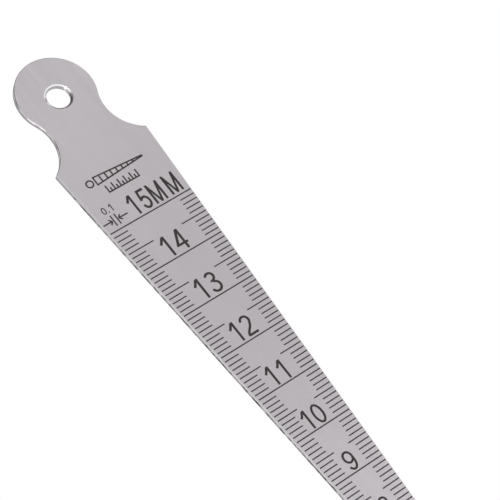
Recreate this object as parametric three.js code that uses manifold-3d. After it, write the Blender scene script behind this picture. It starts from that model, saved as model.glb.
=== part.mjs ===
// Taper gauge: one flat strip of stainless steel whose width falls steadily from the shoulders to the
// tip. It is pushed into a hole or a slot, and the graduation at the mouth is the width there. One face
// reads in millimetres and the other in fractions of an inch.
//
// Millimetres. +Z is towards the head, X is across the blade, and Y is through it: the metric face looks
// along -Y and the inch face along +Y. The origin is the centre of the hang hole, half way through.
import * as THREE from 'three';
import { mergeGeometries, mergeVertices } from 'three/addons/utils/BufferGeometryUtils.js';
import Module from 'manifold-3d';

const wasm = await Module();
wasm.setup();

// Blade
const THICKNESS = 1.0;
const TAPER = 8; // length of blade for each millimetre of width
const WIDEST_MARK = 15; // width at the top metric graduation
const WIDEST_MARK_Z = -22.4;
const TIP_WIDTH = 0.5;
const EDGE_BREAK = 0.1; // chamfer along every outer edge

// Head
const HEAD_RADIUS = 6.25;
const HEAD_CENTRE_Z = 0.6;
const NECK_WIDTH = 10;
const NECK_RADIUS = 6.5; // of the hollow on each side of the neck
const HOLE_RADIUS = 1.8;
const COUNTERSINK_WIDTH = 0.36; // how much wider the hole is at each face, on the radius
const COUNTERSINK_DEPTH = 0.28;

// Engraved graduations
const MARK_DEPTH = 0.05;
const LINE_WIDTH = 0.2;
const TICK_WIDTH = 0.19;
const EDGE_GAP = 0.13; // plain metal between a mark and the blade's edge
const NARROWEST_TENTH = 10; // the last metric graduation, in tenths of a millimetre
const TICK_LENGTH_MAX = 2.5;
const TICK_LENGTH_SHARE = 0.27; // of the blade's width there, where that is shorter
const HALF_TICK_BASE = 0.9;
const HALF_TICK_SHARE = 0.25;
const INCH = 25.4;
const WIDEST_SIXTY_FOURTH = 40;
const NARROWEST_SIXTY_FOURTH = 3;
const NARROWEST_LABELLED = 8; // labels come every fourth sixty-fourth down to this one
const LABEL_GAP_MAX = 5.3; // the break in a line that leaves room for its label
const LABEL_GAP_BASE = 0.6;
const LABEL_GAP_SHARE = 0.62;

const ARC_STEPS = 12;
const HOLE_STEPS = 40;
const CUTTER_OVERLAP = 0.5; // how far a cutter stands out of the metal that it cuts

/** Height at which the blade is as wide as given. */
function heightAtWidth(width) {
  return WIDEST_MARK_Z + TAPER * (width - WIDEST_MARK);
}

/** Outline of the strip, with its tip at the bottom. */
function bladeOutline() {
  const neckX = NECK_WIDTH / 2 + NECK_RADIUS;
  const neckZ = HEAD_CENTRE_Z - Math.sqrt((HEAD_RADIUS + NECK_RADIUS) ** 2 - neckX ** 2);

  // The shoulder is where the neck's hollow meets the tapered edge, x = edgeX + edgeSlope * z.
  const edgeSlope = 1 / (2 * TAPER);
  const edgeX = (WIDEST_MARK - WIDEST_MARK_Z / TAPER) / 2;
  const a = 1 + edgeSlope ** 2;
  const b = 2 * (edgeSlope * (edgeX - neckX) - neckZ);
  const c = (edgeX - neckX) ** 2 + neckZ ** 2 - NECK_RADIUS ** 2;
  const shoulderZ = (-b - Math.sqrt(b ** 2 - 4 * a * c)) / (2 * a);
  const shoulderX = edgeX + edgeSlope * shoulderZ;

  const toShoulder = Math.atan2(shoulderZ - neckZ, shoulderX - neckX);
  const toHead = Math.atan2(HEAD_CENTRE_Z - neckZ, neckX);
  const tipZ = heightAtWidth(TIP_WIDTH);
  const outline = new THREE.Shape();
  outline.moveTo(-TIP_WIDTH / 2, tipZ);
  outline.lineTo(TIP_WIDTH / 2, tipZ);
  outline.lineTo(shoulderX, shoulderZ);
  outline.absarc(neckX, neckZ, NECK_RADIUS, toShoulder, Math.PI - toHead, true);
  outline.absarc(0, HEAD_CENTRE_Z, HEAD_RADIUS, -toHead, Math.PI + toHead, false);
  outline.absarc(-neckX, neckZ, NECK_RADIUS, toHead, Math.PI - toShoulder, true);
  outline.closePath();
  return outline;
}

/** The plain strip, centred on its thickness, with both rims of its outline chamfered. */
function stripGeometry() {
  const geometry = new THREE.ExtrudeGeometry(bladeOutline(), {
    depth: THICKNESS - 2 * EDGE_BREAK,
    curveSegments: ARC_STEPS,
    bevelEnabled: true,
    bevelThickness: EDGE_BREAK,
    bevelSize: EDGE_BREAK,
    bevelOffset: -EDGE_BREAK,
    bevelSegments: 1,
  });
  geometry.translate(0, 0, EDGE_BREAK - THICKNESS / 2);
  geometry.rotateX(Math.PI / 2);
  return geometry;
}

/** Cutter for the hang hole: a bore with a countersink at each face, carried on past the face. */
function holeCutter() {
  const face = THICKNESS / 2;
  const flare = COUNTERSINK_WIDTH / COUNTERSINK_DEPTH;
  const rim = HOLE_RADIUS + COUNTERSINK_WIDTH + flare * CUTTER_OVERLAP;
  const profile = [
    new THREE.Vector2(0, -face - CUTTER_OVERLAP),
    new THREE.Vector2(rim, -face - CUTTER_OVERLAP),
    new THREE.Vector2(HOLE_RADIUS, -face + COUNTERSINK_DEPTH),
    new THREE.Vector2(HOLE_RADIUS, face - COUNTERSINK_DEPTH),
    new THREE.Vector2(rim, face + CUTTER_OVERLAP),
    new THREE.Vector2(0, face + CUTTER_OVERLAP),
  ];
  return new THREE.LatheGeometry(profile, HOLE_STEPS);
}

/** Cutter for one straight mark between two x values; side is -1 on the metric face, +1 on the inch face. */
function markCutter(fromX, toX, z, lineWidth, side) {
  const depth = MARK_DEPTH + CUTTER_OVERLAP;
  const cutter = new THREE.BoxGeometry(toX - fromX, depth, lineWidth);
  cutter.translate((fromX + toX) / 2, side * (THICKNESS / 2 - MARK_DEPTH + depth / 2), z);
  return cutter;
}

/** A mark on the left and its mirror image on the right, each reaching in from the edge. */
function edgePair(width, length, lineWidth, side) {
  const outer = width / 2 - EDGE_GAP;
  const z = heightAtWidth(width);
  return [
    markCutter(-outer, -outer + length, z, lineWidth, side),
    markCutter(outer - length, outer, z, lineWidth, side),
  ];
}

/** Metric graduations: a line at each millimetre, longer ticks at the halves and short ones at the tenths. */
function metricCutters() {
  const cutters = [];
  for (let tenth = WIDEST_MARK * 10; tenth >= NARROWEST_TENTH; tenth -= 1) {
    const width = tenth / 10;
    const reach = width / 2 - EDGE_GAP;
    if (tenth % 10 === 0) {
      cutters.push(markCutter(-reach, reach, heightAtWidth(width), LINE_WIDTH, -1));
    } else if (tenth % 5 === 0) {
      const length = Math.min(HALF_TICK_BASE + HALF_TICK_SHARE * width, 0.8 * reach);
      cutters.push(...edgePair(width, length, TICK_WIDTH, -1));
    } else {
      const length = Math.min(TICK_LENGTH_MAX, TICK_LENGTH_SHARE * width);
      cutters.push(...edgePair(width, length, TICK_WIDTH, -1));
    }
  }
  return cutters;
}

/** Inch graduations: a line at each sixty-fourth, broken in the middle where a label stands. */
function inchCutters() {
  const cutters = [];
  for (let count = WIDEST_SIXTY_FOURTH; count >= NARROWEST_SIXTY_FOURTH; count -= 1) {
    const width = (count * INCH) / 64;
    const reach = width / 2 - EDGE_GAP;
    if (count % 4 === 0 && count >= NARROWEST_LABELLED) {
      const gap = Math.min(LABEL_GAP_MAX, LABEL_GAP_BASE + LABEL_GAP_SHARE * width);
      cutters.push(...edgePair(width, reach - gap / 2, LINE_WIDTH, 1));
    } else {
      cutters.push(markCutter(-reach, reach, heightAtWidth(width), LINE_WIDTH, 1));
    }
  }
  return cutters;
}

/** A closed geometry as a solid that can be cut. */
function toSolid(geometry) {
  const bare = geometry.clone();
  bare.deleteAttribute('normal');
  bare.deleteAttribute('uv');
  const merged = mergeVertices(bare, 1e-5);
  return new wasm.Manifold(new wasm.Mesh({
    numProp: 3,
    vertProperties: new Float32Array(merged.attributes.position.array),
    triVerts: new Uint32Array(merged.index.array),
  }));
}

/** A cut solid as a geometry again. */
function toGeometry(solid) {
  const mesh = solid.getMesh();
  const geometry = new THREE.BufferGeometry();
  geometry.setAttribute('position', new THREE.BufferAttribute(new Float32Array(mesh.vertProperties), 3));
  geometry.setIndex(new THREE.BufferAttribute(new Uint32Array(mesh.triVerts), 1));
  geometry.computeVertexNormals();
  return geometry;
}

/** The whole blade: the strip with its hang hole and both scales cut into it. */
function bladeGeometry() {
  const marks = mergeGeometries([...metricCutters(), ...inchCutters()]);
  return toGeometry(toSolid(stripGeometry()).subtract(toSolid(holeCutter())).subtract(toSolid(marks)));
}

const steel = new THREE.MeshStandardMaterial({ color: 0xb9b5b8, roughness: 0.38, metalness: 1 });

const blade = new THREE.Mesh(bladeGeometry(), steel);
blade.name = 'gauge_blade';

const gauge = new THREE.Group();
gauge.name = 'taper_gauge';
gauge.add(blade);

export default gauge;
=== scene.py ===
import math

import bpy
from mathutils import Matrix, Vector
from mathutils.geometry import delaunay_2d_cdt


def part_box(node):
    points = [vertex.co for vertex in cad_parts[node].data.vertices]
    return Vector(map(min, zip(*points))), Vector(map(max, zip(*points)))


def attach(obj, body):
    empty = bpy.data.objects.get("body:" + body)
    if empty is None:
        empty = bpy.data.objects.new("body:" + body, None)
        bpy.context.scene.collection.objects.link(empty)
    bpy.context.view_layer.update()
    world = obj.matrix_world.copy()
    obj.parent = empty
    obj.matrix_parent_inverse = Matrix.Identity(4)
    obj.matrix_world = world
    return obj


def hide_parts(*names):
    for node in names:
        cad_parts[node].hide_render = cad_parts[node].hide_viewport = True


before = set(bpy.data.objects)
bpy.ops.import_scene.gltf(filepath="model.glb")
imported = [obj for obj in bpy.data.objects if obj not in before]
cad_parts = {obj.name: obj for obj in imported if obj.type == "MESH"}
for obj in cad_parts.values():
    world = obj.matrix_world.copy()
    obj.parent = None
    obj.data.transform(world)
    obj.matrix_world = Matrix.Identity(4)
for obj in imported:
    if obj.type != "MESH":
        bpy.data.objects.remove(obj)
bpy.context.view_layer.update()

# Taper gauge hanging from its hole. Shapes are worked out in millimetres and stored in metres.
# X is across the blade and Z along it. The metric face looks along -Y and the inch face along +Y.
LOW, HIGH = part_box("gauge_blade")
MM = 0.001

# Blade. Its thickness and the heights of its two ends are read from the frame.
FACE_Y = HIGH.y / MM
TIP_Z = LOW.z / MM
TOP_Z = HIGH.z / MM
TAPER = 8.0                      # length of blade for each millimetre of width
TIP_WIDTH = 0.5
HEAD_RADIUS = 6.25
HEAD_Z = TOP_Z - HEAD_RADIUS
NECK_WIDTH = 10.0
NECK_RADIUS = 6.5                # of the hollow on each side of the neck
SHOULDER_ROUND = 0.22
TIP_ROUND = 0.12
EDGE_ROUND = 0.1                 # the deburred outer edge
HOLE_RADIUS = 1.8
COUNTERSINK_WIDTH = 0.36         # how much wider the hole is at each face, on the radius
COUNTERSINK_DEPTH = 0.28
HIGHLIGHT_SHARE = 0.6               # of the countersink's width, next to the face, that carries the painted highlight colour
ARC_STEP = math.radians(2.5)
HOLE_SIDES = 96
RIM_STEPS = 6                    # strips round the curve of an eased edge

# Material slots of the blade, in the order of the materials in build_gauge
GROUND, EASED, CUT, COUNTERSUNK, BORE, FILL = range(6)

# Engraving
MARK_DEPTH = 0.05
FILL_DROP = 0.012                # how far the dark fill lies under the face
LINE_WIDTH = 0.2
TICK_WIDTH = 0.19
EDGE_GAP = 0.13                  # plain metal between a mark and the blade's edge
STROKE = 0.112                   # stroke width of a numeral, as a share of its height
BOW_STEPS = 14                   # straight pieces in a curved stroke
ARROW_STROKE = 0.22
ARROW_BARB_SHARE = 0.24          # of the height of the bars
ARROW_CLEARANCE = 0.12           # between an arrow's point and the bar

# Metric scale
WIDEST_MARK = 15                 # width at the top graduation
NARROWEST_TENTH = 10             # the last graduation, in tenths of a millimetre
TICK_LENGTH_MAX = 2.5
TICK_LENGTH_SHARE = 0.27         # of the blade's width there, where that is shorter
HALF_TICK_BASE = 0.9
HALF_TICK_SHARE = 0.25
HALF_TICK_LIMIT = 0.8            # of the way to the middle of the blade
TALL_NUMERAL = 3.45              # height of the 13 and the 14

# Inch scale
INCH = 25.4
WIDEST_SIXTY_FOURTH = 40
NARROWEST_SIXTY_FOURTH = 3
NARROWEST_LABELLED = 8           # labels come every fourth sixty-fourth down to this one
LABEL_GAP_MAX = 5.3              # the break in a line that leaves room for its label
LABEL_GAP_BASE = 0.6
LABEL_GAP_SHARE = 0.62
LABEL_HEIGHT_MAX = 1.6
LABEL_HEIGHT_SHARE = 1.2         # of the part of the gap that falls to each character


def height_at(width):
    """Z at which the blade has the given width."""
    return TIP_Z + TAPER * (width - TIP_WIDTH)


# ---------------------------------------------------------------- outlines

def arc_points(centre, radius, start, end, outward):
    """Points of an arc with their normals away from the metal: (x, z, normal x, normal z). outward is 1 for a
    round corner and -1 for a hollow."""
    count = max(2, math.ceil(abs(end - start) / ARC_STEP))
    points = []
    for i in range(count + 1):
        angle = start + (end - start) * i / count
        c, s = math.cos(angle), math.sin(angle)
        points.append((centre[0] + radius * c, centre[1] + radius * s, outward * c, outward * s))
    return points


def blade_outline():
    """The blade's outline, anticlockwise from the tip, with its tip and shoulder corners eased."""
    lean = math.atan(1 / (2 * TAPER))
    slope = math.tan(lean)
    edge_x = TIP_WIDTH / 2 - slope * TIP_Z
    neck_x = NECK_WIDTH / 2 + NECK_RADIUS
    neck_z = HEAD_Z - math.sqrt((HEAD_RADIUS + NECK_RADIUS) ** 2 - neck_x ** 2)
    to_head = math.atan2(HEAD_Z - neck_z, neck_x)

    tip_z = TIP_Z + TIP_ROUND
    tip_x = edge_x + slope * tip_z - TIP_ROUND / math.cos(lean)
    right = arc_points((tip_x, tip_z), TIP_ROUND, -math.pi / 2, -lean, 1)

    # The shoulder's round lies inside the tapered edge and touches the neck's hollow. Its centre's height is
    # the lower root of a z^2 + b z + c = 0.
    inner_x = edge_x - SHOULDER_ROUND / math.cos(lean)
    reach = NECK_RADIUS + SHOULDER_ROUND
    a = 1 + slope ** 2
    b = 2 * (slope * (inner_x - neck_x) - neck_z)
    c = (inner_x - neck_x) ** 2 + neck_z ** 2 - reach ** 2
    round_z = (-b - math.sqrt(b * b - 4 * a * c)) / (2 * a)
    round_x = inner_x + slope * round_z
    to_neck = math.atan2(neck_z - round_z, neck_x - round_x)
    right += arc_points((round_x, round_z), SHOULDER_ROUND, -lean, to_neck, 1)
    right += arc_points((neck_x, neck_z), NECK_RADIUS, to_neck + math.pi, math.pi - to_head, -1)[1:]
    right += arc_points((0, HEAD_Z), HEAD_RADIUS, -to_head, math.pi / 2, 1)[1:]

    left = [(-x, z, -nx, nz) for x, z, nx, nz in reversed(right[:-1])]
    return right + left


def hole_outline():
    """The hang hole, clockwise, with normals that point away from the metal."""
    points = []
    for i in range(HOLE_SIDES):
        angle = -2 * math.pi * i / HOLE_SIDES
        c, s = math.cos(angle), math.sin(angle)
        points.append((HOLE_RADIUS * c, HOLE_RADIUS * s, -c, -s))
    return points


# ---------------------------------------------------------------- flat shapes for the marks

def box(x0, x1, z0, z1):
    """An upright rectangle."""
    return [(x0, z0), (x1, z0), (x1, z1), (x0, z1)]


def slant(x0, z0, x1, z1, width):
    """A straight stroke from a lower to an upper point, cut level at both ends."""
    half = width / 2
    return [(x0 - half, z0), (x0 + half, z0), (x1 + half, z1), (x1 - half, z1)]


def ribbon(points, width):
    """A stroke of even width along a row of points."""
    left, right = [], []
    for i, (x, z) in enumerate(points):
        before = points[max(i - 1, 0)]
        after = points[min(i + 1, len(points) - 1)]
        dx, dz = after[0] - before[0], after[1] - before[1]
        length = math.hypot(dx, dz)
        nx, nz = -dz / length * width / 2, dx / length * width / 2
        left.append((x + nx, z + nz))
        right.append((x - nx, z - nz))
    return right + left[::-1]


def bow(cx, cz, rx, rz, start, end):
    """Points of an elliptical arc; the angles are in degrees."""
    points = []
    for i in range(BOW_STEPS + 1):
        angle = math.radians(start + (end - start) * i / BOW_STEPS)
        points.append((cx + rx * math.cos(angle), cz + rz * math.sin(angle)))
    return points


def ring(cx, cz, rx, rz, width):
    """A closed oval stroke, in two halves."""
    return [ribbon(bow(cx, cz, rx, rz, start, start + 180), width) for start in (0, 180)]


def glyph(letter, stroke):
    """(polygons, width) of a character one unit high. A letter that isn't listed is drawn as an M, the only
    one on the gauge."""
    half = stroke / 2
    if letter == "0":
        return ring(0.28, 0.5, 0.27 - half, 0.5 - half, stroke), 0.56
    if letter == "1":
        flag = [(0.09, 0.675), (0.165, 0.75), (0.235, 0.85), (0.31, 1 - stroke * 0.3)]
        return [box(0.29, 0.29 + stroke, 0, 1), ribbon(flag, stroke)], 0.56
    if letter == "2":
        hook = bow(0.28, 1 - 0.27, 0.25 - half, 0.27 - half, 172, -28)
        tail = [(0.36, 0.44), (0.22, 0.29), (0.12, 0.18), (0.07, stroke * 0.9)]
        return [ribbon(hook + tail, stroke), box(0.02, 0.54, 0, stroke)], 0.56
    if letter == "3":
        upper = bow(0.27, 0.755, 0.235 - half, 0.245 - half, 158, -84)
        lower = bow(0.275, 0.285, 0.27 - half, 0.285 - half, 88, -165)
        waist = box(0.19, 0.31, 0.51, 0.51 + stroke * 0.86)
        return [ribbon(upper, stroke), ribbon(lower, stroke), waist], 0.56
    if letter == "4":
        stem = box(0.36, 0.36 + stroke, 0, 1)
        bar = box(0.01, 0.57, 0.235, 0.235 + stroke * 0.95)
        return [stem, bar, slant(0.06, 0.26, 0.40, 1, stroke * 1.15)], 0.56
    if letter == "5":
        bowl = bow(0.275, 0.33, 0.27 - half, 0.33 - half, 146, -165)
        back = slant(0.095, 0.47, 0.165, 1, stroke)
        return [box(0.11, 0.51, 1 - stroke, 1), back, ribbon(bowl, stroke)], 0.56
    if letter == "6":
        back = bow(0.305, 0.5, 0.29 - half, 0.5 - half, 38, 190)
        return ring(0.285, 0.325, 0.27 - half, 0.325 - half, stroke) + [ribbon(back, stroke)], 0.56
    if letter == "7":
        leg = [(0.49, 1 - stroke), (0.37, 0.72), (0.27, 0.44), (0.215, 0.18), (0.2, 0)]
        return [box(0.03, 0.545, 1 - stroke, 1), ribbon(leg, stroke)], 0.56
    if letter == "8":
        upper = ring(0.28, 0.755, 0.235 - half, 0.245 - half, stroke)
        return upper + ring(0.28, 0.28, 0.27 - half, 0.28 - half, stroke), 0.56
    if letter == "9":
        polygons, width = glyph("6", stroke)
        return [[(0.56 - x, 1 - z) for x, z in polygon] for polygon in polygons], width
    if letter == "/":
        return [slant(0.02, -0.04, 0.26, 1.02, stroke * 0.9)], 0.28
    if letter == ".":
        return [box(0.14 - 0.6 * stroke, 0.14 + 0.6 * stroke, 0, 1.2 * stroke)], 0.28
    stems = [box(0.03, 0.03 + stroke, 0, 1), box(0.72 - stroke, 0.72, 0, 1)]
    legs = [slant(0.375, 0, foot, 1, stroke * 0.95) for foot in (0.03 + half, 0.72 - half)]
    return stems + legs, 0.75


def text(words, x, z, height, stretch, stroke=STROKE, spacing=0.06):
    """Polygons of a row of characters, centred on x, with its baseline at z. stretch is how much wider than
    drawn they come out, and stroke and spacing are shares of the height."""
    pieces = []
    advance = 0.0
    for letter in words:
        polygons, width = glyph(letter, stroke)
        pieces.append((advance, polygons))
        advance += width + spacing
    start = x - (advance - spacing) * height * stretch / 2
    shapes = []
    for offset, polygons in pieces:
        for polygon in polygons:
            shapes.append([(start + (offset + px) * height * stretch, z + pz * height) for px, pz in polygon])
    return shapes


def closing_arrows(x, z, height, reach, gap):
    """Two upright bars with an arrow pointing at each from outside: the value of one graduation."""
    shapes = []
    half = ARROW_STROKE / 2
    barb = ARROW_BARB_SHARE * height
    for side in (-1, 1):
        bar = x + side * gap / 2
        point = bar + side * (half + ARROW_CLEARANCE)
        left, right = sorted((point, x + side * reach / 2))
        shapes.append(box(bar - half, bar + half, z - height / 2, z + height / 2))
        shapes.append(box(left, right, z - half, z + half))
        for up in (-1, 1):
            shapes.append(ribbon([(point, z), (point + side * barb, z + up * barb)], ARROW_STROKE))
    return shapes


def wedge_sign(x, z, length, height, width, count):
    """A plain sign of a graduated tapered blade with a round head, lying on its side."""
    left, right = x - length / 2, x + length / 2
    radius = height * 0.42
    body = left + 2.3 * radius
    half, tip = height / 2, width * 0.75
    shapes = ring(left + radius, z, radius - width / 2, radius - width / 2, width)
    for up in (-1, 1):
        start = (body, z + up * (half - width / 2))
        end = (right, z + up * (tip - width / 2))
        shapes.append(ribbon([start, end], width))
    for i in range(count):
        along = i / count
        at = body + (right - body) * along
        reach = half + (tip - half) * along
        shapes.append(box(at, at + width, z - reach, z + reach))
    return shapes


def rule_sign(x, z, length, height, width, count):
    """A plain row of long and short graduations standing on a line."""
    shapes = [box(x - length / 2, x + length / 2, z, z + width)]
    for i in range(count + 1):
        tick = height if i % 2 == 0 else height * 0.55
        at = x - length / 2 + width / 2 + (length - width) * i / count
        shapes.append(box(at - width / 2, at + width / 2, z, z + tick))
    return shapes


def edge_pair(width, length, thickness):
    """A mark at the left edge and its mirror image at the right, where the blade is as wide as given."""
    outer = width / 2 - EDGE_GAP
    z = height_at(width)
    low, high = z - thickness / 2, z + thickness / 2
    return [box(-outer, -outer + length, low, high), box(outer - length, outer, low, high)]


def full_line(width):
    """A line across the blade, where it is as wide as given."""
    reach = width / 2 - EDGE_GAP
    z = height_at(width)
    return [box(-reach, reach, z - LINE_WIDTH / 2, z + LINE_WIDTH / 2)]


def numeral(number):
    """The number of a whole millimetre, standing just above its line. Those below 13 shrink with the blade,
    and faster where they would otherwise reach its edges."""
    if number >= 13:
        height = TALL_NUMERAL
    else:
        height = min(2.3 + 0.083 * number, 0.45 + 0.62 * (number + 0.25))
    shift = -0.4 if number > 9 else -0.12
    rise = 0.42 if number > 11 else 0.3
    return text(str(number), x=shift, z=height_at(number) + rise, height=height, stretch=1.04)


def metric_marks():
    """Everything engraved on the metric face, by group."""
    lines, ticks, numerals = [], [], []
    for tenth in range(WIDEST_MARK * 10, NARROWEST_TENTH - 1, -1):
        width = tenth / 10
        reach = width / 2 - EDGE_GAP
        if tenth % 10 == 0:
            lines += full_line(width)
        elif tenth % 5 == 0:
            length = min(HALF_TICK_BASE + HALF_TICK_SHARE * width, HALF_TICK_LIMIT * reach)
            ticks += edge_pair(width, length, TICK_WIDTH)
        else:
            length = min(TICK_LENGTH_MAX, TICK_LENGTH_SHARE * width)
            ticks += edge_pair(width, length, TICK_WIDTH)
    for number in range(WIDEST_MARK - 1, 0, -1):
        numerals += numeral(number)
    top = height_at(WIDEST_MARK)
    numerals += text("15", x=-0.59, z=top + 0.46, height=3.42, stretch=0.88, stroke=0.122, spacing=0.115)
    numerals += text("MM", x=4.08, z=top + 0.46, height=3.42, stretch=0.89, stroke=0.122, spacing=0.2)
    signs = text("0.1", x=-5.29, z=top + 2.93, height=1.2, stretch=1.1, stroke=0.13)
    signs += closing_arrows(x=-5.27, z=top + 1.56, height=1.88, reach=4.36, gap=0.67)
    signs += wedge_sign(x=-0.5, z=top + 8.15, length=10.3, height=1.6, width=0.24, count=9)
    signs += rule_sign(x=-0.53, z=top + 5.5, length=5.66, height=1.36, width=0.24, count=10)
    return {"metric_lines": lines, "metric_ticks": ticks, "metric_numerals": numerals, "metric_signs": signs}


def inch_marks():
    """Everything engraved on the inch face, by group."""
    lines, numerals = [], []
    for count in range(WIDEST_SIXTY_FOURTH, NARROWEST_SIXTY_FOURTH - 1, -1):
        width = count * INCH / 64
        if count % 4 or count < NARROWEST_LABELLED:
            lines += full_line(width)
            continue
        gap = min(LABEL_GAP_MAX, LABEL_GAP_BASE + LABEL_GAP_SHARE * width)
        lines += edge_pair(width, width / 2 - EDGE_GAP - gap / 2, LINE_WIDTH)
        common = math.gcd(count, 64)
        words = f"{count // common}/{64 // common}"
        height = min(LABEL_HEIGHT_MAX, LABEL_HEIGHT_SHARE * gap / len(words))
        baseline = height_at(width) - height / 2
        numerals += text(words, x=0, z=baseline, height=height, stretch=1.2, spacing=0.1)
    top = height_at(WIDEST_SIXTY_FOURTH * INCH / 64)
    signs = closing_arrows(x=-2.4, z=top + 7.6, height=1.85, reach=4.7, gap=0.7)
    signs += text("1", x=2.4, z=top + 8.05, height=1.75, stretch=1.1)
    signs += [box(1.35, 3.65, top + 7.5, top + 7.68)]
    signs += text("64", x=2.5, z=top + 5.35, height=1.75, stretch=1.1)
    signs += wedge_sign(x=-0.2, z=top + 3.9, length=9.4, height=1.3, width=0.2, count=9)
    signs += rule_sign(x=0, z=top + 1.35, length=7.8, height=1.4, width=0.2, count=14)
    return {"inch_lines": lines, "inch_numerals": numerals, "inch_signs": signs}


# ---------------------------------------------------------------- meshes

# For the triangulation of a face
OUTER_RIM, HOLE_RIM = 0, 1       # the first two loops
INSIDE_FACES = 1                 # Blender's code for triangles inside the loops only
MERGE_DISTANCE = 1e-5


class Builder:
    """Collects points in millimetres and faces with a normal at each corner. A face's slot is the place of
    its material among those that finish is given."""

    def __init__(self):
        self.points = []
        self.faces = []
        self.normals = []
        self.slots = []

    def point(self, x, y, z):
        self.points.append((x * MM, y * MM, z * MM))
        return len(self.points) - 1

    def face(self, corners, normals, slot=GROUND):
        self.faces.append(corners)
        self.normals += normals
        self.slots.append(slot)

    def flat(self, corners, slot=GROUND):
        """A face whose normal is its own."""
        a, b, c = (Vector(self.points[i]) for i in corners[:3])
        normal = (b - a).cross(c - b).normalized()
        self.face(corners, [normal] * len(corners), slot)

    def finish(self, name, materials):
        """Makes the object, in metres."""
        mesh = bpy.data.meshes.new(name)
        mesh.from_pydata(self.points, [], self.faces)
        for material in materials:
            mesh.materials.append(material)
        mesh.polygons.foreach_set("material_index", self.slots)
        mesh.polygons.foreach_set("use_smooth", [True] * len(self.faces))
        mesh.update()
        mesh.normals_split_custom_set([tuple(n) for n in self.normals])
        piece = bpy.data.objects.new(name, mesh)
        bpy.context.scene.collection.objects.link(piece)
        return piece


def eased_edge():
    """Strips round the outer edge, from the metric face to the inch face: (first step, last step, slot).
    A step is (inset from the outline, y, outward part of the normal, part of it along y)."""
    steps = []
    for i in range(RIM_STEPS + 1):
        angle = math.pi / 2 * i / RIM_STEPS
        c, s = math.cos(angle), math.sin(angle)
        steps.append((EDGE_ROUND * (1 - s), -FACE_Y + EDGE_ROUND * (1 - c), s, -c))
    steps += [(inset, -y, out, -along) for inset, y, out, along in reversed(steps)]
    slots = [EASED] * RIM_STEPS + [CUT] * (RIM_STEPS + 1)
    return list(zip(steps, steps[1:], slots))


def countersunk_hole():
    """Strips down the hang hole: a cone, the bore and a cone, with a crisp edge between them. The part of
    each cone next to the face has a near-white colour, a painted highlight, and the rest of it has the bore's
    darker colour, partly painted shade."""
    slope = math.hypot(COUNTERSINK_WIDTH, COUNTERSINK_DEPTH)
    cone = (COUNTERSINK_DEPTH / slope, COUNTERSINK_WIDTH / slope)
    shaded_cone_width = COUNTERSINK_WIDTH * (1 - HIGHLIGHT_SHARE)
    shaded_cone_y = FACE_Y - COUNTERSINK_DEPTH * HIGHLIGHT_SHARE
    bore_y = FACE_Y - COUNTERSINK_DEPTH
    rims = [(COUNTERSINK_WIDTH, FACE_Y), (shaded_cone_width, shaded_cone_y), (0, bore_y)]
    rims = [(inset, -y) for inset, y in rims] + rims[::-1]
    normals = [(cone[0], -cone[1])] * 2 + [(1, 0)] + [cone] * 2
    slots = [COUNTERSUNK, BORE, BORE, BORE, COUNTERSUNK]
    return [(a + n, b + n, slot) for a, b, n, slot in zip(rims, rims[1:], normals, slots)]


def wrap(builder, outline, strips):
    """Builds the strips along a closed outline. Returns the first and last rings of points."""
    def ring_points(step):
        return [builder.point(x - step[0] * nx, step[1], z - step[0] * nz) for x, z, nx, nz in outline]

    def ring_normals(step):
        return [Vector((step[2] * nx, step[3], step[2] * nz)) for x, z, nx, nz in outline]

    first = low = ring_points(strips[0][0])
    count = len(outline)
    for start, end, slot in strips:
        high = ring_points(end)
        low_normals, high_normals = ring_normals(start), ring_normals(end)
        for i in range(count):
            j = (i + 1) % count
            normals = [low_normals[i], high_normals[i], high_normals[j], low_normals[j]]
            builder.face([low[i], high[i], high[j], low[j]], normals, slot)
        low = high
    return first, low


def signed_area(polygon):
    """Area of a polygon, positive where it runs anticlockwise."""
    return sum(a[0] * b[1] - b[0] * a[1] for a, b in zip(polygon, polygon[1:] + polygon[:1])) / 2


def triangulate(rims, groups):
    """Cuts a face into triangles along its rims and marks. rims holds the outer rim and the hole, and groups
    is a list of (name, polygons). Returns the points, the triangles with their group or None, and the rim
    index of each point that lies on a rim."""
    loops = [(None, rim) for rim in rims]
    for name, polygons in groups:
        loops += [(name, polygon) for polygon in polygons]
    points, faces, owners = [], [], []
    for name, loop in loops:
        indices = list(range(len(points), len(points) + len(loop)))
        faces.append(indices if signed_area(loop) > 0 else indices[::-1])
        points += loop
        owners.append(name)
    rim_count = sum(len(rim) for rim in rims)
    cut = delaunay_2d_cdt([Vector(p) for p in points], [], faces, INSIDE_FACES, MERGE_DISTANCE, True)
    flat_points, _, triangles, from_points, _, from_faces = cut
    kept = []
    for corners, sources in zip(triangles, from_faces):
        if OUTER_RIM not in sources or HOLE_RIM in sources:
            continue
        names = [owners[s] for s in sources if owners[s]]
        kept.append((list(corners), names[0] if names else None))
    rim_of = {}
    for i, sources in enumerate(from_points):
        on_rim = [s for s in sources if s < rim_count]
        if on_rim:
            rim_of[i] = on_rim[0]
    return flat_points, kept, rim_of


def edges_of(triangles):
    """Boundary of a set of triangles: the directed edges that no neighbour runs the other way."""
    directed = set()
    for corners in triangles:
        for i in range(3):
            directed.add((corners[i], corners[(i + 1) % 3]))
    return [edge for edge in sorted(directed) if (edge[1], edge[0]) not in directed]


def fill_of(triangles, place):
    """Closed mesh of the dark fill in one group's pockets. place puts a point of the face at a depth."""
    fill = Builder()
    top = {i: place(fill, i, FILL_DROP) for i in sorted({i for corners in triangles for i in corners})}
    base = {i: place(fill, i, MARK_DEPTH) for i in top}
    for corners in triangles:
        fill.flat([top[i] for i in corners])
        fill.flat([base[i] for i in reversed(corners)])
    for a, b in edges_of(triangles):
        fill.flat([top[b], top[a], base[a], base[b]])
    return fill


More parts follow.
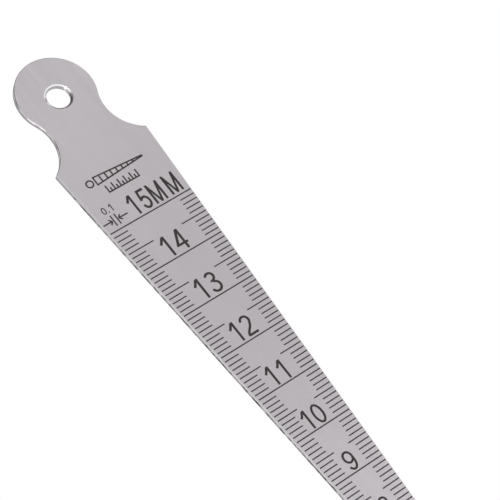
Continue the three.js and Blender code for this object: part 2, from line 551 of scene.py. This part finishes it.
def engrave(builder, side, rim_indices, rims, groups):
    """Closes one face of the blade, with a pocket for every mark, and returns the fill of each group. side is
    -1 for the metric face and +1 for the inch face; points on a face are as its reader sees them."""
    points, triangles, rim_of = triangulate(rims, groups)
    outward = Vector((0, side, 0))

    def place(target, index, depth):
        u, z = points[index]
        return target.point(-side * u, side * (FACE_Y - depth), z)

    plain = [corners for corners, name in triangles if name is None]
    marked = [corners for corners, name in triangles if name]
    surface = {}
    for corners in plain:
        for i in corners:
            if i not in surface:
                surface[i] = rim_indices[rim_of[i]] if i in rim_of else place(builder, i, 0)
        builder.face([surface[i] for i in corners], [outward] * 3)
    floor = {}
    for corners in marked:
        for i in corners:
            if i not in floor:
                floor[i] = place(builder, i, MARK_DEPTH)
        builder.face([floor[i] for i in corners], [outward] * 3, FILL)
    for a, b in edges_of(marked):
        builder.flat([surface[a], surface[b], floor[b], floor[a]], FILL)

    fills = {}
    for name, _ in groups:
        fills[name] = fill_of([corners for corners, owner in triangles if owner == name], place)
    return fills


# ---------------------------------------------------------------- materials

EDGE_ROUGHNESS = 0.14
TORN_ROUGHNESS = 0.5
NOISE_ROUGHNESS = 0.6
NOISE_LOW, NOISE_HIGH = 0.3, 0.7     # most of a noise's values lie between these
TEAR_START, TEAR_FULL = -0.12, 0.06  # y at which the side wall starts to be torn and to carry painted shade, and is fully torn and shaded
TEAR_RAGGED = 0.1                    # how far its start wanders to either side
SHADE_DARKNESS = 0.93                 # darkness of the painted shade on the torn wall; 1 is black
HEAD_SHADE_SHARE = 0.36                     # share of that painted shade round the head, the neck and the shoulders
HEAD_SHADE_Z = (-15.5, -12.5)         # where the blade's broken painted shade gives way to the head's steadier one


class Surface:
    """A new material, and the nodes that feed its shader. An input is given a number, a colour or the output
    of another node."""

    def __init__(self, name, metallic=0.0):
        self.material = bpy.data.materials.new(name)
        self.material.use_nodes = True
        self.tree = self.material.node_tree
        self.shader = self.tree.nodes["Principled BSDF"]
        self.feed(self.shader.inputs["Metallic"], metallic)

    def feed(self, socket, value):
        """Sets an input, or links it to another node's output."""
        if isinstance(value, bpy.types.NodeSocket):
            self.tree.links.new(value, socket)
        elif isinstance(value, tuple):
            socket.default_value = (*value, 1)  # a colour, opaque
        else:
            socket.default_value = value

    def position(self):
        """Where the point that is being shaded lies."""
        return self.tree.nodes.new("ShaderNodeTexCoord").outputs["Object"]

    def grain(self, across, along, detail):
        """Noise whose scales across and along the blade are given in waves per metre."""
        mapping = self.tree.nodes.new("ShaderNodeMapping")
        mapping.inputs["Scale"].default_value = (across, across, along)
        noise = self.tree.nodes.new("ShaderNodeTexNoise")
        noise.inputs["Scale"].default_value = 1.0
        noise.inputs["Detail"].default_value = detail
        noise.inputs["Roughness"].default_value = NOISE_ROUGHNESS
        self.feed(mapping.inputs["Vector"], self.position())
        self.feed(noise.inputs["Vector"], mapping.outputs["Vector"])
        return noise.outputs["Fac"]

    def spread(self, value, low, high, from_low=NOISE_LOW, from_high=NOISE_HIGH):
        """Maps a value from one range to another, and stops at its ends."""
        remap = self.tree.nodes.new("ShaderNodeMapRange")
        self.feed(remap.inputs["From Min"], from_low)
        self.feed(remap.inputs["From Max"], from_high)
        self.feed(remap.inputs["To Min"], low)
        self.feed(remap.inputs["To Max"], high)
        self.feed(remap.inputs["Value"], value)
        return remap.outputs["Result"]

    def blend(self, share, first, second, kind="RGBA"):
        """First where share is 0 and second where it is 1: two colours, or two numbers with kind FLOAT."""
        mix = self.tree.nodes.new("ShaderNodeMix")
        mix.data_type = kind
        self.feed(mix.inputs["Factor"], share)
        self.feed(mix.inputs["A"], first)
        self.feed(mix.inputs["B"], second)
        return mix.outputs["Result"]

    def combine(self, operation, first, second):
        """The result of a named operation on two numbers."""
        node = self.tree.nodes.new("ShaderNodeMath")
        node.operation = operation
        self.feed(node.inputs[0], first)
        self.feed(node.inputs[1], second)
        return node.outputs["Value"]

    def bump(self, height, strength, distance):
        """Ripples the surface with a height of up to the distance given, in metres."""
        bump = self.tree.nodes.new("ShaderNodeBump")
        self.feed(bump.inputs["Strength"], strength)
        self.feed(bump.inputs["Distance"], distance)
        self.feed(bump.inputs["Height"], height)
        self.feed(self.shader.inputs["Normal"], bump.outputs["Normal"])

    def finish(self, colour, roughness):
        """Feeds the shader its colour and roughness, and returns the material."""
        self.feed(self.shader.inputs["Base Color"], colour)
        self.feed(self.shader.inputs["Roughness"], roughness)
        return self.material


def brushed_steel():
    """The ground faces: fine lengthwise brushing over faint broad streaks."""
    surface = Surface("brushed_steel", metallic=1.0)
    surface.bump(surface.grain(across=9000, along=160, detail=4), strength=0.25, distance=0.000004)
    broad = surface.spread(surface.grain(across=130, along=40, detail=2), 0, 1)
    colour = surface.blend(broad, (0.457, 0.432, 0.453), (0.477, 0.451, 0.473))
    roughness = surface.spread(surface.grain(across=1400, along=45, detail=3), 0.325, 0.365)
    return surface.finish(colour, roughness)


def smooth_metal(name, dark, light):
    """Edge metal with a faint ripple. Returns its surface, its patches, and the colour that they shade."""
    surface = Surface(name, metallic=1.0)
    surface.bump(surface.grain(across=6000, along=3000, detail=3), strength=0.2, distance=0.000005)
    patches = surface.spread(surface.grain(across=700, along=500, detail=3), 0, 1)
    return surface, patches, surface.blend(patches, dark, light)


def eased_steel():
    """The deburred rim of the metric face."""
    surface, _, colour = smooth_metal("eased_edge_steel", (0.50, 0.48, 0.495), (0.56, 0.54, 0.555))
    return surface.finish(colour, EDGE_ROUGHNESS)


def hole_steel(name, dark, light):
    """Metal inside the hang hole."""
    surface, patches, colour = smooth_metal(name, dark, light)
    return surface.finish(colour, surface.spread(patches, 0.16, 0.22, from_low=0, from_high=1))


def cut_steel():
    """The side wall: smooth next to the metric face, and torn by shearing and rougher next to the inch face.
    Painted shade darkens the torn part almost to black as a dark outline; it is broken along the measuring
    edges, and steadier and paler round the head."""
    dark, light = (0.48, 0.46, 0.475), (0.54, 0.52, 0.535)
    surface, patches, smooth = smooth_metal("cut_edge_steel", dark, light)
    place = surface.tree.nodes.new("ShaderNodeSeparateXYZ")
    surface.feed(place.inputs["Vector"], surface.position())
    wander = TEAR_RAGGED * MM
    ragged = surface.spread(surface.grain(across=1500, along=1500, detail=3), -wander, wander)
    depth = surface.combine("ADD", place.outputs["Y"], ragged)
    # zone marks the torn part: it roughens the wall and carries the painted shade.
    zone = surface.spread(depth, 0, 1, TEAR_START * MM, TEAR_FULL * MM)
    # Where the near-black painted shade covers the wall: broken along the blade, steadier round the head.
    broken_shade = surface.spread(surface.grain(across=1000, along=1000, detail=2), -0.1, 1.2)
    at_head = surface.spread(place.outputs["Z"], 0, 1, HEAD_SHADE_Z[0] * MM, HEAD_SHADE_Z[1] * MM)
    share = surface.combine("MULTIPLY", zone, surface.blend(at_head, broken_shade, HEAD_SHADE_SHARE, "FLOAT"))
    # The painted shade: the wall's colours cut almost to black.
    left = 1 - SHADE_DARKNESS
    painted_shade = surface.blend(patches, tuple(left * c for c in dark), tuple(left * c for c in light))
    roughness = surface.spread(zone, EDGE_ROUGHNESS, TORN_ROUGHNESS, from_low=0, from_high=1)
    return surface.finish(surface.blend(share, smooth, painted_shade), roughness)


def mark_fill():
    """Matt dark fill with a slightly uneven tone."""
    surface = Surface("mark_fill")
    patches = surface.grain(across=2500, along=2500, detail=4)
    colour = surface.blend(surface.spread(patches, 0, 1), (0.016, 0.013, 0.012), (0.034, 0.028, 0.026))
    return surface.finish(colour, surface.spread(patches, 0.5, 0.75))


def pale_floor():
    """Matt and almost white, with a faint speckle."""
    surface = Surface("pale_floor")
    speckle = surface.spread(surface.grain(across=400, along=400, detail=3), 0, 1)
    return surface.finish(surface.blend(speckle, (0.80, 0.80, 0.80), (0.83, 0.83, 0.83)), 0.8)


# ---------------------------------------------------------------- the gauge

def rim_seen(outline, inset, side):
    """An outline's rim on one face, as the reader of that face sees it."""
    return [(-side * (x - inset * nx), z - inset * nz) for x, z, nx, nz in outline]


def build_gauge():
    """The blade, and a mesh of dark fill for each group of its marks."""
    fill_colour = mark_fill()
    materials = [
        brushed_steel(),
        eased_steel(),
        cut_steel(),
        # Near-white countersink colour: a painted highlight, brighter than steel reflects.
        hole_steel("countersunk_highlight_steel", (0.86, 0.85, 0.855), (0.94, 0.93, 0.935)),
        # Darker bore colour: partly painted shade inside the hole.
        hole_steel("bore_shade_steel", (0.36, 0.34, 0.35), (0.46, 0.44, 0.45)),
        fill_colour,
    ]
    outer, hole = blade_outline(), hole_outline()
    blade = Builder()
    outer_metric, outer_inch = wrap(blade, outer, eased_edge())
    hole_metric, hole_inch = wrap(blade, hole, countersunk_hole())
    faces = (
        (-1, outer_metric + hole_metric, metric_marks()),
        (1, outer_inch + hole_inch, inch_marks()),
    )
    pieces = []
    for side, rim_indices, marks in faces:
        rims = [rim_seen(outer, EDGE_ROUND, side), rim_seen(hole, COUNTERSINK_WIDTH, side)]
        for name, fill in engrave(blade, side, rim_indices, rims, list(marks.items())).items():
            pieces.append(fill.finish(name, [fill_colour]))
    return blade.finish("blade", materials), pieces


gauge, fill_pieces = build_gauge()
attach(gauge, "root")
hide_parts("gauge_blade")
for piece in fill_pieces:
    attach(piece, "root")


# ---------------------------------------------------------------- floor, light and camera, in metres

FLOOR_SIZE = 6.0
FLOOR_THICKNESS = 0.02
FLOOR_DROP = 0.006               # clear space under the hanging tip
FLOOR_LIGHT_STRENGTH = 2.4
FLOOR_LIGHT_BLUR = math.radians(50)
SKY = ((0, 1.0), (23, 1.0), (34, 0.3), (60, 0.12))  # (elevation in degrees, brightness)

# Soft lights that the metal reflects: (name, position, aim, width, height, power in watts)
LIGHTS = (
    ("head_light", (0.17, -0.32, 0.17), (0, 0, 0), 0.1, 0.1, 0.027),
    ("blade_light", (0.1, -0.19, -0.06), (0, 0, -0.068), 0.06, 0.06, 0.009),
    ("neck_light", (-0.278, 0.419, 0.004), (0, 0, 0), 0.045, 0.15, 0.025),
    ("left_light", (-0.35, -0.36, -0.07), (0, 0, 0), 0.07, 0.07, 0.06),
    ("rim_light", (0.01, 0.425, 0.26), (0, 0, 0), 0.16, 0.08, 0.025),
    ("inch_light", (0.33, 0.24, -0.12), (0, 0, -0.05), 0.12, 0.12, 0.1),
)

# The camera stands in front of the metric face, to its left and a little below, and is rolled over.
CAMERA_AZIMUTH = math.radians(-28.91)
CAMERA_ELEVATION = math.radians(-15.16)
CAMERA_ROLL = math.radians(-39.11)
CAMERA_DISTANCE = 0.3597
CAMERA_AIM = Vector((0.00857, LOW.y, height_at(13.425) * MM))
CAMERA_LENS = 180.58             # mm, on a 36 mm sensor


def floor_slab():
    """A level square slab under the tip."""
    half = FLOOR_SIZE / 2
    top = LOW.z - FLOOR_DROP
    corners = [(-half, -half), (half, -half), (half, half), (-half, half)]
    points = [(x, y, z) for z in (top - FLOOR_THICKNESS, top) for x, y in corners]
    sides = [(0, 1, 5, 4), (1, 2, 6, 5), (2, 3, 7, 6), (3, 0, 4, 7)]
    mesh = bpy.data.meshes.new("floor")
    mesh.from_pydata(points, [], [(3, 2, 1, 0), (4, 5, 6, 7)] + sides)
    mesh.materials.append(pale_floor())
    slab = bpy.data.objects.new("floor", mesh)
    bpy.context.scene.collection.objects.link(slab)
    return slab


def floor_light(strength, blur):
    """An even overhead light for the floor and the dark marks, which the metal doesn't reflect."""
    data = bpy.data.lights.new("floor_light", "SUN")
    data.energy = strength
    data.angle = blur
    light = bpy.data.objects.new("floor_light", data)
    light.visible_glossy = False
    bpy.context.scene.collection.objects.link(light)


def soft_light(name, position, aim, width, height, power):
    """A rectangular light that the metal reflects and the camera doesn't see."""
    data = bpy.data.lights.new(name, "AREA")
    data.shape = "RECTANGLE"
    data.size = width
    data.size_y = height
    data.energy = power
    light = bpy.data.objects.new(name, data)
    light.location = position
    light.rotation_euler = (Vector(aim) - Vector(position)).to_track_quat("-Z", "Y").to_euler()
    light.visible_camera = False
    bpy.context.scene.collection.objects.link(light)


def studio_world():
    """White surroundings up to a little above eye level and a darker ceiling."""
    world = bpy.data.worlds.new("studio")
    world.use_nodes = True
    nodes, links = world.node_tree.nodes, world.node_tree.links
    coordinates = nodes.new("ShaderNodeTexCoord")
    split = nodes.new("ShaderNodeSeparateXYZ")
    links.new(coordinates.outputs["Generated"], split.inputs["Vector"])
    ramp = nodes.new("ShaderNodeValToRGB")
    ramp.color_ramp.interpolation = "EASE"
    while len(ramp.color_ramp.elements) < len(SKY):
        ramp.color_ramp.elements.new(0.5)
    for element, (elevation, level) in zip(ramp.color_ramp.elements, SKY):
        element.position = math.sin(math.radians(elevation))
        element.color = (level, level, level, 1)
    links.new(split.outputs["Z"], ramp.inputs["Fac"])
    links.new(ramp.outputs["Color"], nodes["Background"].inputs["Color"])
    nodes["Background"].inputs["Strength"].default_value = 1.0
    return world


def add_camera():
    """The camera at the photograph's viewing angle."""
    away = Vector((
        math.sin(CAMERA_AZIMUTH) * math.cos(CAMERA_ELEVATION),
        -math.cos(CAMERA_AZIMUTH) * math.cos(CAMERA_ELEVATION),
        math.sin(CAMERA_ELEVATION),
    ))
    level_right = Vector((0, 0, 1)).cross(away).normalized()
    level_up = away.cross(level_right)
    right = math.cos(CAMERA_ROLL) * level_right + math.sin(CAMERA_ROLL) * level_up
    up = away.cross(right)
    data = bpy.data.cameras.new("camera")
    data.lens = CAMERA_LENS
    data.clip_start = 0.01
    camera = bpy.data.objects.new("camera", data)
    axes = Matrix((right, up, away)).transposed().to_4x4()
    camera.matrix_world = Matrix.Translation(CAMERA_AIM + CAMERA_DISTANCE * away) @ axes
    bpy.context.scene.collection.objects.link(camera)
    bpy.context.scene.camera = camera


floor_slab()
floor_light(FLOOR_LIGHT_STRENGTH, FLOOR_LIGHT_BLUR)
for light_row in LIGHTS:
    soft_light(*light_row)
bpy.context.scene.world = studio_world()
bpy.context.scene.view_settings.view_transform = "Standard"
add_camera()
